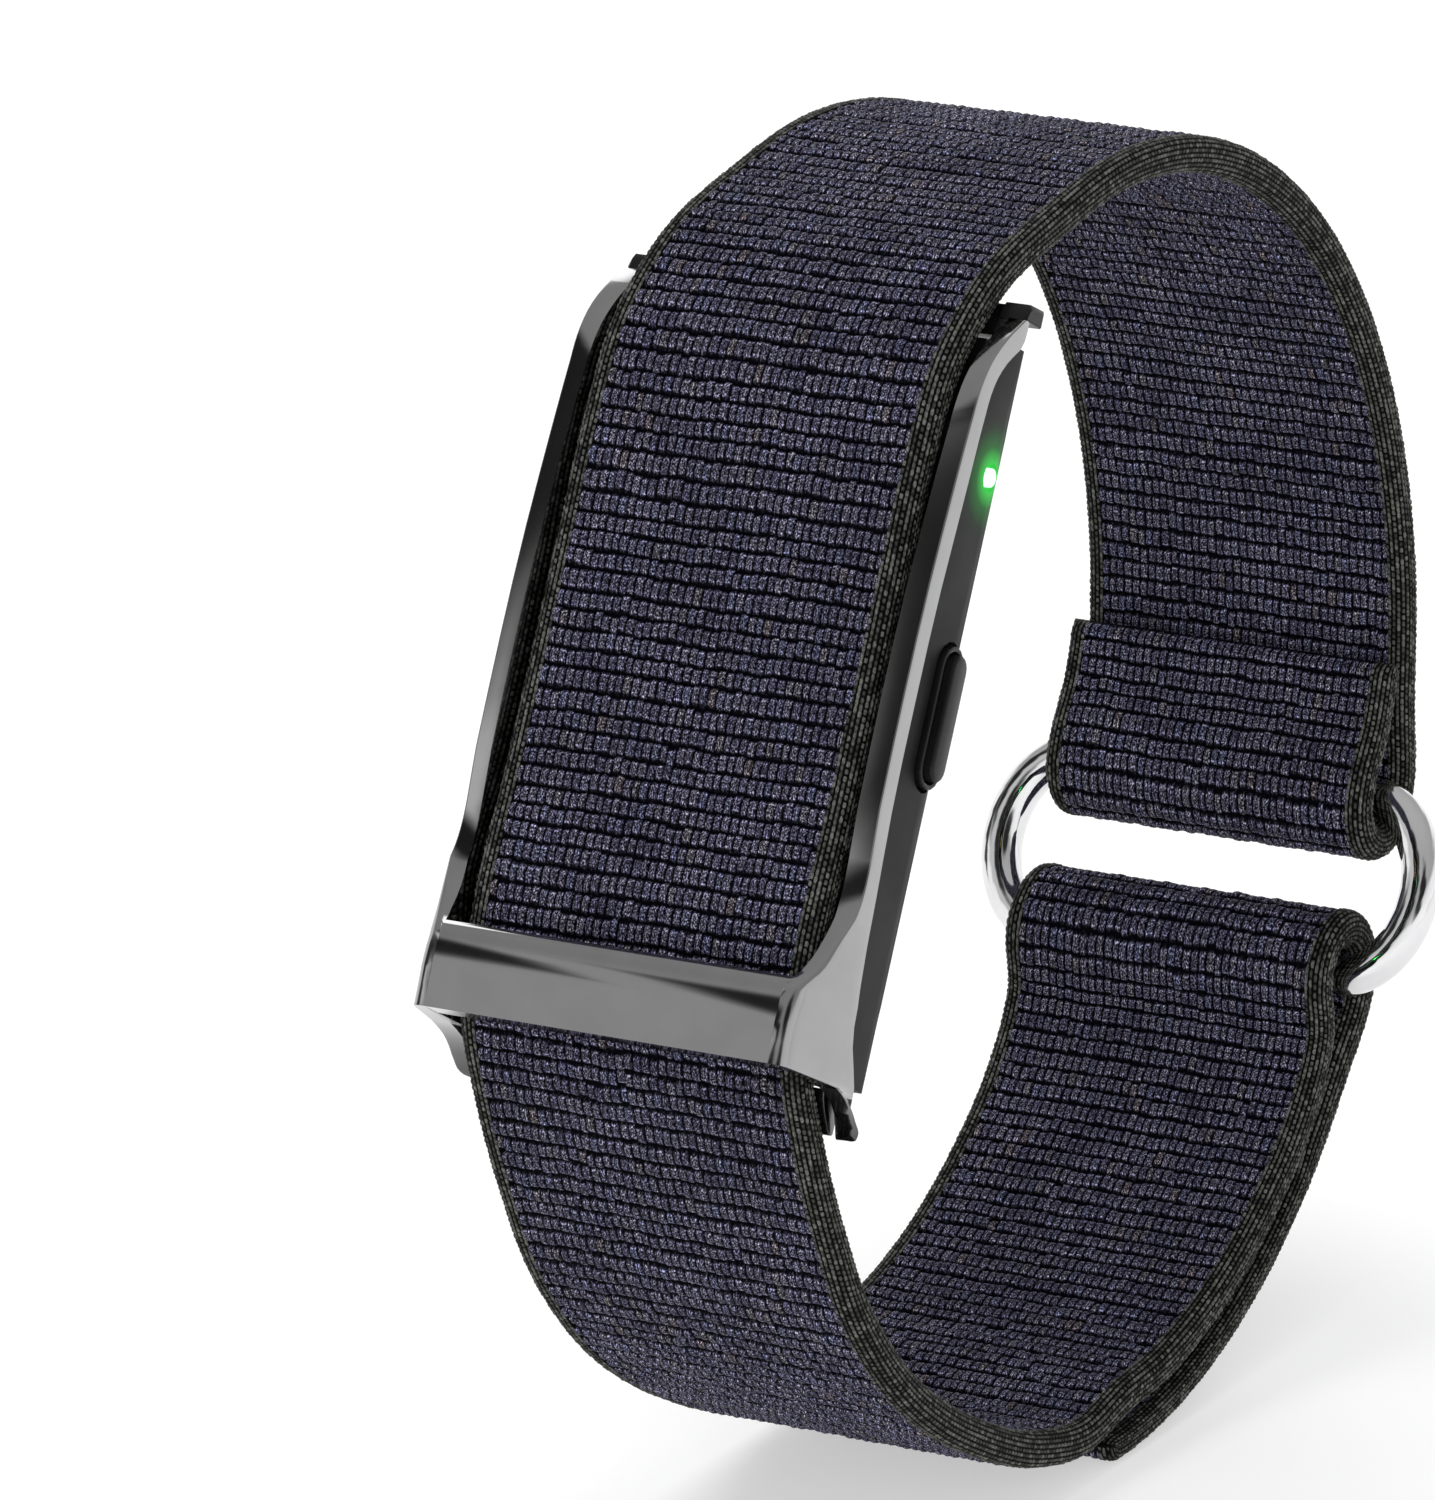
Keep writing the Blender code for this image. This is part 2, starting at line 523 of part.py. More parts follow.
# ---------------------------------------------------------------- electronics
def build_electronics(parent):
    battery = box("battery", "foil", parent, (0.75, 0, -0.6), (2.8, 16.0, 15.0), 0.5)
    battery.modifiers["edge_round"].segments = 3
    disc("vibration_motor", "steel", parent, (-0.7, 0, -11.8), 6.6, 2.4, "u", 0.2)
    box("main_board", "board", parent, (-0.2, 0, 11.0), (0.5, 17.0, 7.6), 0)
    box("processor_chip", "chip", parent, (0.5, -4.2, 10.6), (0.7, 4.6, 4.6), 0.08)
    box("motion_sensor", "chip", parent, (0.45, 3.6, 10.6), (0.6, 2.6, 2.6), 0.08)
    box("antenna", "gold", parent, (0.3, 0, 14.2), (0.25, 12.0, 0.8), 0)
    for index, sign in enumerate((-1, 1), start=1):
        disc(f"charge_contact_{index}", "gold", parent,
             (CASE_BACK_U + 0.45, sign * CONTACT_SPACING / 2, CONTACT_W), CONTACT_D, 1.1, "u", 0.12)
        disc(f"charge_magnet_{index}", "steel", parent, (-1.3, sign * 5.6, 12.6), 3.2, 1.2, "u")
    path = [(-0.95, 5.4), (-0.93, 6.4), (-0.8, 7.3), (-0.58, 7.9), (-0.55, 9.6)]
    add_object("sensor_flex", side_prism(ribbon(path, 0.12), -2.0, 2.0, "flex"), "flex", parent)


def build_button(parent):
    """Side button on its own slide, with its bezel, seal and switch."""
    face_v = -CASE_HALF
    inset = 0.35
    pivot = add_empty("button_slide", parent, local(BUTTON_U, face_v, 0))
    cap = add_object("side_button", side_prism(stadium(BUTTON_HEIGHT, BUTTON_LENGTH),
                                               -BUTTON_PROUD, inset + 0.9, "cap"),
                     "black", pivot)
    add_bevel(cap, 0.2, 3)
    outer = stadium(BUTTON_HEIGHT + 0.9, BUTTON_LENGTH + 0.9)
    inner = stadium(BUTTON_HEIGHT + 0.3, BUTTON_LENGTH + 0.3)
    bezel = add_object("button_bezel", side_ring(outer, inner, face_v - 0.3, face_v + inset),
                       "black", parent, (BUTTON_U, 0, 0))
    add_bevel(bezel, 0.12, 2)
    box("button_switch", "steel", parent, (BUTTON_U, face_v + 2.5, 0), (1.3, 0.7, 3.0), 0.08)


def side_ring(outer, inner, v_low, v_high):
    """Ring between two matching outlines in (u, w), standing along v."""
    bm = bmesh.new()
    loops = []
    for outline, v in ((outer, v_low), (outer, v_high), (inner, v_high), (inner, v_low)):
        loops.append([bm.verts.new(local(u, v, w)) for u, w in outline])
    count = len(outer)
    for first, second in zip(loops, loops[1:] + loops[:1]):
        for index in range(count):
            after = (index + 1) % count
            bm.faces.new((first[index], first[after], second[after], second[index]))
    return mesh_from(bm, "side_ring")


def build_status_light(parent):
    disc("status_light", "green_light", parent, (LIGHT_U, -CASE_HALF + 0.5, LIGHT_W),
         LIGHT_D, 1.2, "v", 0.1)


# ---------------------------------------------------------------- strap and ring
def upper_bar():
    return (RING_U, RING_W + RING_BAR_OFFSET)


def lower_bar():
    return (RING_U, RING_W - RING_BAR_OFFSET)


def loop_point(radius, degrees):
    return arc((LOOP_U, LOOP_W), radius, degrees, degrees, 1)[0]


def strap_path():
    """Centreline of the strap from its inner flap, round the wrist, to the tail's hinge."""
    upper_r = UPPER_POCKET_R + STRAP_THICK / 2
    lower_r = LOWER_POCKET_R + STRAP_THICK / 2
    flap = [(-57.7, 15.6), (-58.2, 12.0)]
    upper_fold = arc(upper_bar(), upper_r, 180, 360, 8)
    crown = arc((LOOP_U + CROWN_SHIFT[0], LOOP_W + CROWN_SHIFT[1]), LOOP_R, 22, 118, 8)
    over_lug = [(-4.8, 27.7), (1.2, 22.4), (4.05, 17.2), (FACE_U, 12.0), (FACE_U, 6.0)]
    under_bar = [(FACE_U, -6.0), (FACE_U, -15.5), (3.7, -19.2), (0.2, -23.2), (-2.4, -25.5),
                 (-5.0, -27.5), (-8.6, -30.0), (-11.9, -31.6), (-15.9, -33.0)]
    bottom = [(-21.3, -34.0), loop_point(LOOP_R + 0.1, 267), loop_point(LOOP_R, 280)]
    step_in = [loop_point(35.0, 289)]
    under_tail = arc(TAIL_CENTRE, UNDER_R, 298, 340, 5)
    rise = [loop_point(31.7, 348)]
    lower_fold = arc(lower_bar(), lower_r, 180, 0, 8)
    outer_r = TAIL_OUTER_R - STRAP_THICK / 2
    drop = [tail_point(outer_r, -11.5), tail_point(outer_r, TAIL_HINGE_ANGLE)]
    knots = (flap + upper_fold + crown + over_lug + under_bar + bottom + step_in + under_tail
             + rise + lower_fold + drop)
    return smooth_curve(knots, 1.7)


def tail_point(radius, degrees):
    return arc(TAIL_CENTRE, radius, degrees, degrees, 1)[0]


def tail_pivot():
    """The tail folds about a line on its outer surface."""
    return tail_point(TAIL_OUTER_R, TAIL_HINGE_ANGLE)


def build_strap(parent):
    half = STRAP_WIDTH / 2
    add_object("strap", side_prism(ribbon(strap_path(), STRAP_THICK), -half, half, "strap"),
               "strap", parent)
    hinge_u, hinge_w = tail_pivot()
    pivot = add_empty("tail_fold", parent, local(hinge_u, 0, hinge_w))
    centre = (TAIL_CENTRE[0] - hinge_u, TAIL_CENTRE[1] - hinge_w)
    start = TAIL_HINGE_ANGLE - math.degrees(GAP / TAIL_OUTER_R)
    tail = arc(centre, TAIL_OUTER_R - TAIL_THICK / 2, start, TAIL_TIP_ANGLE, 16)
    add_object("strap_tail", side_prism(ribbon(tail, TAIL_THICK), -half, half, "tail"),
               "strap", pivot)
    under_outer = UNDER_R + STRAP_THICK / 2
    tail_inner = TAIL_OUTER_R - TAIL_THICK
    tab = arc(centre, (under_outer + tail_inner) / 2, *HOOK_TAB_ANGLES, 8)
    add_object("hook_tab", side_prism(ribbon(tab, HOOK_THICK), -half + 1.8, half - 1.8, "tab"),
               "hook", pivot)


def build_ring(parent):
    """Wire ring with straight bars and rounded ends, hung on its upper bar."""
    pivot = add_empty("ring_swivel", parent, local(upper_bar()[0], 0, upper_bar()[1]))
    reach = RING_HALF_LENGTH - RING_STRAIGHT_HALF
    points = []
    for sign, start in ((1, -90), (-1, 90)):
        for index in range(13):
            angle = math.radians(start + 180 * index / 12)
            points.append((sign * RING_STRAIGHT_HALF + reach * math.cos(angle),
                           RING_BAR_OFFSET * math.sin(angle)))
    bm = bmesh.new()
    rings = []
    sides = 16
    for index, point in enumerate(points):
        before, after = Vector(points[index - 1]), Vector(points[(index + 1) % len(points)])
        along = (after - before).normalized()
        outward = Vector((along.y, -along.x))
        ring = []
        for step in range(sides):
            angle = 2 * math.pi * step / sides
            v, w = Vector(point) + outward * RING_WIRE_R * math.cos(angle)
            ring.append(bm.verts.new(local(RING_WIRE_R * math.sin(angle), v, w - RING_BAR_OFFSET)))
        rings.append(ring)
    for first, second in zip(rings, rings[1:] + rings[:1]):
        for step in range(sides):
            after = (step + 1) % sides
            bm.faces.new((first[step], first[after], second[after], second[step]))
    add_object("adjust_ring", mesh_from(bm, "adjust_ring"), "chrome", pivot, smooth_angle=60)


# ---------------------------------------------------------------- assembly
def clear_scene():
    for obj in list(bpy.data.objects):
        bpy.data.objects.remove(obj, do_unlink=True)


def main():
    clear_scene()
    lean = Matrix.Rotation(STANCE_TILT, 3, "Y")
    stance = add_empty("stance", None, -(lean @ local(LOOP_U, 0, LOOP_W)))
    stance.rotation_euler.y = STANCE_TILT
    build_metal_frame(stance)
    build_case(stance)
    build_cover(stance)
    build_sensor_stack(stance)
    build_electronics(stance)
    build_button(stance)
    build_status_light(stance)
    build_strap(stance)
    build_ring(stance)


main()
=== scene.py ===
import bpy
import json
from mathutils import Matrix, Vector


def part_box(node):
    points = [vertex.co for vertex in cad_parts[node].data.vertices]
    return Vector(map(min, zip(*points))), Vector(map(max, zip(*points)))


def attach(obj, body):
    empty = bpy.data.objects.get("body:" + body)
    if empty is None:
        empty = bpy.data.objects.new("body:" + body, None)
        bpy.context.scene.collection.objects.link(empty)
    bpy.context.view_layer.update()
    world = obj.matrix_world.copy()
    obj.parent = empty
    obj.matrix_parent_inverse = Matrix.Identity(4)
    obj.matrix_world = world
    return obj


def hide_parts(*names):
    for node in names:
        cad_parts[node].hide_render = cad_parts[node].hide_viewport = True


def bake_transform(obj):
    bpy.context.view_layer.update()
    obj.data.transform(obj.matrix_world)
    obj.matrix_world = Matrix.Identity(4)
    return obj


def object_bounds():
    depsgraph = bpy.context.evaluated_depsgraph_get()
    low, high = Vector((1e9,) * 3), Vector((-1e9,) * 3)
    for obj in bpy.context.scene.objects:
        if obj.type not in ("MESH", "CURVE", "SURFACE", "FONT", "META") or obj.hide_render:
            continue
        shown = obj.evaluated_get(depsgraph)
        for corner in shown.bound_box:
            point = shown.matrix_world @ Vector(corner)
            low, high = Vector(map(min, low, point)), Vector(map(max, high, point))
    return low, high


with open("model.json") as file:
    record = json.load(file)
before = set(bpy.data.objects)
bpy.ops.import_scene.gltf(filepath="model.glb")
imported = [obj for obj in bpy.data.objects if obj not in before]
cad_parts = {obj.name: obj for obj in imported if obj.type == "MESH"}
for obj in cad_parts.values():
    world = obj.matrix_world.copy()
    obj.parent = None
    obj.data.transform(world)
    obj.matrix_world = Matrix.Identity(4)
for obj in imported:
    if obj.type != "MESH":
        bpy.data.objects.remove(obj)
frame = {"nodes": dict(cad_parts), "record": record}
cad_size = [list(corner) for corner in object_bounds()]

import json
import math

import bmesh
import bpy
import numpy as np
from mathutils import Vector

MM = 0.001
rng = np.random.default_rng(11)
scene = bpy.context.scene
nodes = frame["nodes"]

# ---------------------------------------------------------------- the tracker's own axes
mounts = {mount["name"]: mount for mount in frame["record"]["mounts"]}
BACK = Vector(mounts["skin_face"]["axis"])
OUT = -BACK                                   # out of the tracker's face
ACROSS = Vector((0, 1, 0))
UP = ACROSS.cross(OUT)                        # along the tracker, away from its crossbar
WINDOW_BACK = 2.9                             # the window's back face lies this far behind
ORIGIN = Vector(mounts["skin_face"]["pos_m"]) + OUT * WINDOW_BACK * MM

# ---------------------------------------------------------------- the strap's own dimensions, mm
STRAP_THICK = 2.0
WEAVE_HALF = 9.2                             # half width of the ribbed cloth between its bindings
BEADS = 37
RIB_PITCH = 1.08
RIB_DEPTH = 0.34
RIB_STEPS = (0.0, 0.08, 0.24, 0.5, 0.76, 0.92)
BEAD_STEPS = (0.0, 0.13, 0.5, 0.87)
BINDING_IN, BINDING_OUT = 9.0, 10.2          # from its inner edge to the strap's edge
KNOT_PITCH, KNOT_LENGTH = 0.26, 0.38
KNOT_DEPTH = 0.11
END_ROUND = 0.9                               # how far the strap's ends are rounded off
SPLIT_BEFORE_HINGE = 5.0                      # where the outer layer becomes a piece of its own
BEND_LENGTH = 7.0                             # length of cloth just past where the tail peels off
THIN_OVER = 3.0                               # length in which the tail thins
JOIN_REACH = 2.0                              # strap and tail ends closer than this meet


# ---------------------------------------------------------------- the strap's route
def end_outline(node):
    """Points (x, z) in mm round the end face of a CAD strap solid, in order."""
    mesh = nodes[node].data
    points = np.array([vertex.co for vertex in mesh.vertices]) / MM
    low = points[:, 1].min() + 0.01
    numbers, places, weld = {}, [], []
    for x, _, z in points:
        key = (round(x, 4), round(z, 4))
        if key not in numbers:
            numbers[key] = len(places)
            places.append((x, z))
        weld.append(numbers[key])
    edges = set()
    for face in mesh.polygons:
        if all(points[index][1] < low for index in face.vertices):
            corners = [weld[index] for index in face.vertices]
            for a, b in zip(corners, corners[1:] + corners[:1]):
                if (b, a) in edges:
                    edges.remove((b, a))
                else:
                    edges.add((a, b))
    follow = dict(edges)
    loop = [min(follow)]
    while follow[loop[-1]] != loop[0]:
        loop.append(follow[loop[-1]])
    return np.array([places[index] for index in loop])


def sides(node):
    """The two long sides of a CAD strap solid's outline, point for point."""
    loop = end_outline(node)
    half = len(loop) // 2
    along = np.roll(loop, -1, axis=0) - loop
    along /= np.linalg.norm(along, axis=1)[:, None]
    turn = abs((along * np.roll(along, -1, axis=0)).sum(axis=1))
    square = turn + np.roll(turn, 1)          # near 0 on an edge with a square corner at each end
    first = int(np.argmin((square + np.roll(square, -half))[:half])) + 1
    loop = np.roll(loop, -first, axis=0)
    return loop[:half], loop[half:][::-1]


def smooth(points, at):
    """Points and unit tangents at distances `at` along a smooth line through `points`."""
    gaps = np.linalg.norm(np.diff(points, axis=0), axis=1)
    marks = np.concatenate([[0.0], np.cumsum(gaps)])
    slope = np.gradient(points, marks, axis=0)
    index = np.clip(np.searchsorted(marks, at) - 1, 0, len(gaps) - 1)
    gap = gaps[index][:, None]
    t = (np.asarray(at) - marks[index])[:, None] / gap
    p, q, m, n = points[index], points[index + 1], slope[index] * gap, slope[index + 1] * gap
    place_at = ((2 * t**3 - 3 * t**2 + 1) * p + (t**3 - 2 * t**2 + t) * m
                + (3 * t**2 - 2 * t**3) * q + (t**3 - t**2) * n)
    tangent = ((6 * t**2 - 6 * t) * (p - q) + (3 * t**2 - 4 * t + 1) * m
               + (3 * t**2 - 2 * t) * n)
    return place_at, tangent / np.linalg.norm(tangent, axis=1)[:, None]


def middle(node):
    """The middle line of a CAD strap solid, point for point."""
    a, b = sides(node)
    return (a + b) / 2


strap_line = middle("strap")
tail_line = middle("strap_tail")
if min(math.dist(strap_line[0], end) for end in (tail_line[0], tail_line[-1])) < JOIN_REACH:
    strap_line = strap_line[::-1]
# The tail's outer and inner sides, both starting at the strap.
tail_a, tail_b = sides("strap_tail")
if np.linalg.norm(tail_a, axis=1).mean() < np.linalg.norm(tail_b, axis=1).mean():
    tail_a, tail_b = tail_b, tail_a
if math.dist(tail_a[-1], strap_line[-1]) < math.dist(tail_a[0], strap_line[-1]):
    tail_a, tail_b = tail_a[::-1], tail_b[::-1]
inward = (tail_b - tail_a) / np.linalg.norm(tail_b - tail_a, axis=1)[:, None]
TAIL_THICK = float(np.linalg.norm(tail_b - tail_a, axis=1).mean())

# One route for strap and tail: the tail's outer face carries on the strap's.
ROUTE = np.concatenate([strap_line, tail_a + inward * STRAP_THICK / 2])
run = np.linalg.norm(np.diff(ROUTE, axis=0), axis=1)
ROUTE_LENGTH = float(run.sum())
HINGE_AT = float(run[:len(strap_line)].sum())
SPLIT = HINGE_AT - SPLIT_BEFORE_HINGE
at_tail, along_tail = smooth(ROUTE, [ROUTE_LENGTH - 5])
# 1 or -1: which side of the route faces away from the wrist at the tail.
OUTER = 1.0 if np.dot(at_tail[0], (-along_tail[0][1], along_tail[0][0])) > 0 else -1.0


def step(value):
    """Smooth rise from 0 to 1 as the value does."""
    value = np.clip(value, 0.0, 1.0)
    return value * value * (3 - 2 * value)


def strap_points(at, across, height):
    """Row-frame points in mm on the strap: `at` along it, `across` it, `height` from -1 to 1 or
    beyond, where 1 and -1 are its two faces."""
    shape = np.broadcast(at, across, height).shape
    at, across, height = (np.broadcast_to(x, shape).ravel() for x in (at, across, height))
    middle_at, tangent = smooth(ROUTE, np.clip(at, 0.0, ROUTE_LENGTH))
    thin = 1 - (2 - 2 * TAIL_THICK / STRAP_THICK) * step((at - HINGE_AT) / THIN_OVER)
    from_end = np.minimum(at, ROUTE_LENGTH - at)
    squeeze = np.sqrt(np.clip(1 - (1 - np.clip(from_end / END_ROUND, 0.02, 1)) ** 2, 0, 1))
    reach = height * STRAP_THICK / 2 * np.where(height * OUTER < 0, thin, 1.0)
    centre = (thin - 1) * STRAP_THICK / 4 * OUTER
    reach = centre + (reach - centre) * squeeze
    normal = np.stack([-tangent[:, 1], tangent[:, 0]], axis=1)
    flat = middle_at + normal * reach[:, None]
    return np.stack([flat[:, 0], across, flat[:, 1]], axis=1).reshape(*shape, 3)


# ---------------------------------------------------------------- meshes from grids of points
def tube(name, rings, values, parts=1):
    """Closed tubes through rings of points in mm, with named point values; `parts` tubes that
    each take their share of the rings' points."""
    count, around = rings.shape[:2]
    share = around // parts
    index = np.arange(count * around).reshape(count, around)
    faces, starts = [], []
    total = 0
    for part in range(parts):
        own = index[:, part * share:(part + 1) * share]
        after = np.roll(own, -1, axis=1)
        quads = np.stack([own[:-1], after[:-1], after[1:], own[1:]], axis=-1).reshape(-1)
        faces.append(quads)
        starts.append(total + np.arange(0, len(quads), 4))
        total += len(quads)
        for cap in (own[0][::-1], own[-1]):
            faces.append(cap)
            starts.append(np.array([total]))
            total += len(cap)
    mesh = bpy.data.meshes.new(name)
    mesh.vertices.add(count * around)
    mesh.vertices.foreach_set("co", (rings * MM).astype(np.float32).ravel())
    corners = np.concatenate(faces).astype(np.int32)
    mesh.loops.add(len(corners))
    mesh.loops.foreach_set("vertex_index", corners)
    begin = np.concatenate(starts).astype(np.int32)
    mesh.polygons.add(len(begin))
    mesh.polygons.foreach_set("loop_start", begin)
    mesh.update(calc_edges=True)
    mesh.validate()
    for label, value in values.items():
        if value.ndim == 3:
            attribute = mesh.attributes.new(label, "FLOAT_VECTOR", "POINT")
            attribute.data.foreach_set("vector", value.astype(np.float32).ravel())
        else:
            attribute = mesh.attributes.new(label, "FLOAT", "POINT")
            attribute.data.foreach_set("value", value.astype(np.float32).ravel())
    middle_ring = rings[count // 2, :share]
    ahead = rings[count // 2 + 1, :share].mean(axis=0) - middle_ring.mean(axis=0)
    spokes = middle_ring - middle_ring.mean(axis=0)
    if np.cross(spokes, np.roll(spokes, -1, axis=0)).sum(axis=0) @ ahead < 0:
        mesh.flip_normals()
    mesh.shade_smooth()
    obj = bpy.data.objects.new(name, mesh)
    scene.collection.objects.link(obj)
    return obj


# ---------------------------------------------------------------- ribbed cloth
def rib_edges():
    """Places along the strap of the grooves between ribs, one of them at SPLIT."""
    edges = []
    for start, end in ((0.0, SPLIT), (SPLIT, ROUTE_LENGTH)):
        count = round((end - start) / RIB_PITCH)
        pitch = 1 + 0.13 * rng.uniform(-1, 1, count)
        marks = start + (end - start) * np.concatenate([[0.0], np.cumsum(pitch)]) / pitch.sum()
        edges.extend(marks[:-1])
    return np.array(edges + [ROUTE_LENGTH])


def weave_grid():
    """Places along the strap and rings of points over the whole ribbed cloth, both faces, with
    each point's place in its loop and on the cloth.  A groove runs between two ribs and a gap
    between two loops of a rib."""
    edges = rib_edges()
    ribs = len(edges) - 1
    steps = np.array(RIB_STEPS)
    t = np.concatenate([np.tile(steps, ribs), [0.0]])
    rib = np.concatenate([np.repeat(np.arange(ribs), len(steps)), [ribs - 1]])
    width = np.diff(edges)
    at = np.concatenate([(edges[:-1, None] + width[:, None] * steps).ravel(), [edges[-1]]])
    crown = (1 - np.abs(2 * t - 1) ** 2.4) ** 0.62
    tau = np.concatenate([np.tile(BEAD_STEPS, BEADS), [0.0]])
    bead = np.concatenate([np.repeat(np.arange(BEADS), len(BEAD_STEPS)), [BEADS - 1]])
    pillow = 0.36 + 0.64 * (1 - np.abs(2 * tau - 1) ** 4) ** 0.5
    pitch = 2 * WEAVE_HALF / BEADS
    all_at, all_v, all_h, loops, cloth = [], [], [], [], []
    from_groove = 1 - np.abs(2 * t - 1)
    from_gap = 1 - np.abs(2 * tau - 1)
    for side in (1, -1):
        lines = np.linspace(-WEAVE_HALF, WEAVE_HALF, BEADS + 1)
        nudge = 0.035 * rng.normal(size=(ribs, BEADS + 1)) + 0.05 * rng.normal(size=(ribs, 1))
        nudge[:, [0, -1]] = 0
        lines = lines + np.clip(nudge, -0.2, 0.2)
        start = lines[rib][:, bead]
        v = start + (lines[rib][:, np.minimum(bead + 1, BEADS)] - start) * tau
        v[:, -1] = WEAVE_HALF
        swell = 1 + 0.10 * rng.normal(size=(ribs, 1)) + 0.10 * rng.normal(size=(ribs, BEADS))
        profile = crown[:, None] * pillow * np.clip(swell, 0.6, 1.25)[rib][:, bead]
        shade = rng.uniform(size=(ribs, BEADS))[rib][:, bead]
        wave = (0.03 * np.sin(0.55 * v + 0.23 * at[:, None] + side)
                + 0.02 * np.sin(1.7 * v - 0.41 * at[:, None])
                + 0.045 * rng.normal(size=(ribs, BEADS))[rib][:, bead])
        calm = np.minimum(1, np.minimum.reduce([at, ROUTE_LENGTH - at, abs(at - SPLIT)]) / 1.5)
        s = at[:, None] + wave * calm[:, None]
        h = side * (1 - RIB_DEPTH + RIB_DEPTH * profile)
        order = slice(None) if side == 1 else slice(None, None, -1)
        all_at.append(s[:, order])
        all_v.append(v[:, order])
        all_h.append(h[:, order])
        loop = np.broadcast_arrays(from_groove[:, None], from_gap, shade)
        loops.append(np.stack(loop, axis=-1)[:, order])
        cloth.append(np.stack([s, v, np.full_like(v, 30.0 * side)], axis=-1)[:, order])
    join = [np.concatenate(x, axis=1) for x in (all_at, all_v, all_h, loops, cloth)]
    return at, strap_points(*join[:3]), {"loop": join[3], "cloth": join[4] * MM}


# ---------------------------------------------------------------- edge binding
def binding_profile():
    """Points round the folded binding tape, in mm: across, height, and their outward directions,
    with each point's row and place in that row."""
    half, r = STRAP_THICK / 2 - KNOT_DEPTH * 0.75, 0.72
    flat, wall = BINDING_OUT - KNOT_DEPTH - r - BINDING_IN, 2 * (half - r)
    length = 2 * flat + math.pi * r + wall
    rows = round(length / KNOT_PITCH)
    q = np.concatenate([[row + x for x in (0.0, 0.33, 0.67)] for row in range(rows)] + [[rows]])
    result = []
    for mark in q * length / rows:
        if mark <= flat:
            place_at, normal = (BINDING_IN + mark, half), (0, 1)
        elif mark <= flat + math.pi * r / 2:
            turn = (mark - flat) / r
            normal = (math.sin(turn), math.cos(turn))
            place_at = (BINDING_IN + flat + r * normal[0], half - r + r * normal[1])
        elif mark <= flat + math.pi * r / 2 + wall:
            place_at = (BINDING_IN + flat + r, half - r - (mark - flat - math.pi * r / 2))
            normal = (1, 0)
        elif mark <= flat + math.pi * r + wall:
            turn = math.pi / 2 + (mark - flat - wall - math.pi * r / 2) / r
            normal = (math.sin(turn), math.cos(turn))
            place_at = (BINDING_IN + flat + r * normal[0], r - half + r * normal[1])
        else:
            place_at, normal = (BINDING_IN + length - mark, -half), (0, -1)
        result.append((*place_at, *normal))
    return np.array(result), q


def binding_grid(start, end):
    """Rings of points over both edge bindings between two places along the strap."""
    profile, q = binding_profile()
    count = round((end - start) / KNOT_LENGTH * 4)
    at = np.linspace(start, end, count + 1)
    row = np.minimum(q.astype(int), int(q[-1]) - 1)
    x = q - row
    pieces, relief, tint, cloth = [], [], [], []
    for side in (1, -1):
        phase = at[:, None] / KNOT_LENGTH + 0.5 * (row % 2) + 0.12 * np.sin(0.7 * at[:, None] + row)
        y = phase - np.floor(phase)
        knot = np.floor(phase).astype(int) % 4096
        chance = rng.uniform(size=(4096, len(q)))[:, row][knot, np.arange(len(q))]
        lens = np.clip(1 - (2 * x - 1) ** 2 * 0.97 - (2 * y - 1) ** 2 * 0.95, 0, 1) ** 0.5
        h = lens * (0.75 + 0.5 * chance)
        across = profile[:, 0] + profile[:, 2] * KNOT_DEPTH * h
        height = (profile[:, 1] + profile[:, 3] * KNOT_DEPTH * h) / (STRAP_THICK / 2)
        points = strap_points(at[:, None], side * across, height)
        order = slice(None) if side == 1 else slice(None, None, -1)
        pieces.append(points[:, order])
        relief.append(h[:, order])
        tint.append(chance[:, order])
        place_at = np.stack(np.broadcast_arrays(at[:, None], q + 20 * side, 0.0), axis=-1)
        cloth.append(place_at[:, order])
    join = [np.concatenate(x, axis=1) for x in (pieces, relief, tint, cloth)]
    return join[0], {"relief": join[1], "tint": join[2], "cloth": join[3] * MM}


# ---------------------------------------------------------------- materials
def shader(name, metallic=0.0, roughness=0.5):
    """A new material, its Principled shader and the wiring of its node tree."""
    material = bpy.data.materials.new(name)
    material.use_nodes = True
    principled = material.node_tree.nodes["Principled BSDF"]
    principled.inputs["Metallic"].default_value = metallic
    principled.inputs["Roughness"].default_value = roughness
    return material, principled, Wiring(material.node_tree)


